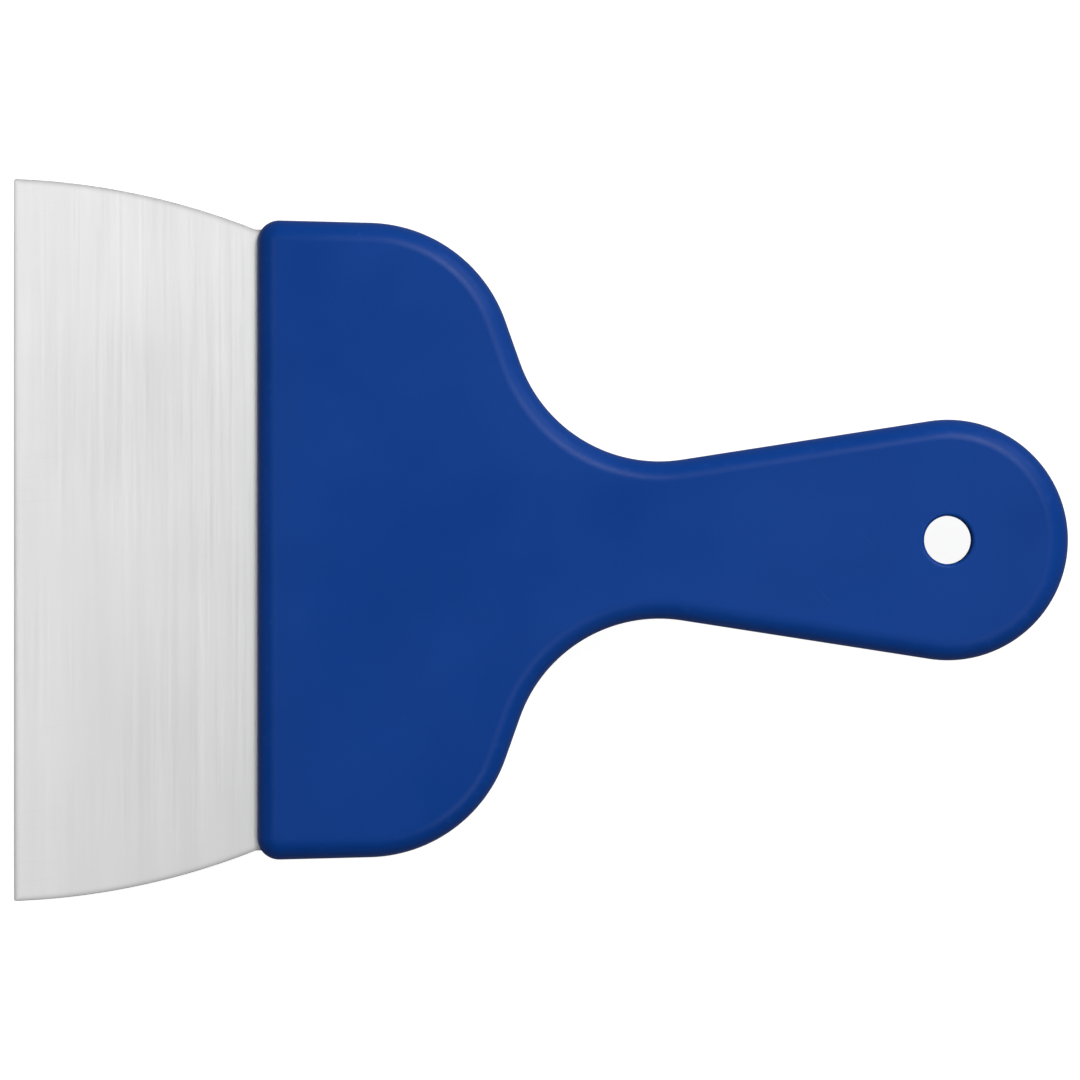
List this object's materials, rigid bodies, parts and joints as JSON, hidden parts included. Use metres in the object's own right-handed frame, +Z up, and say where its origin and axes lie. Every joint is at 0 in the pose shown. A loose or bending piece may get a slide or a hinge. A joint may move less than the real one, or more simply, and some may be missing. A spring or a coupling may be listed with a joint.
{
  "type": "flexible putty knife",
  "caption": "Wide flexible putty knife: a thin spring-steel blade held in a flat two-shell plastic handle with a waisted grip and a hanging hole.",
  "frame": {"origin": "under the centre of the knife's bounding box, on the surface that it lies on", "axes": "+X from the working edge to the hanging end, +Y across the blade, +Z up, out of the front shell's face"},
  "size_m": [0.2188, 0.15, 0.012],
  "materials": {
    "handle_plastic": "satin",
    "blade_steel": "satin"
  },
  "bodies": {
    "handle": {"front_shell": "handle_plastic", "back_shell": "handle_plastic", "blade_tang": "blade_steel"},
    "blade": {"blade": "blade_steel"}
  },
  "joints": [
    {"name": "blade_flex", "type": "hinge", "parent": "handle", "child": "blade", "pos_m": [-0.05925, 0, 0.006], "axis": [0, 1, 0], "range_deg": [-20, 20], "stiffness_Nm_per_rad": 8.9}
  ]
}
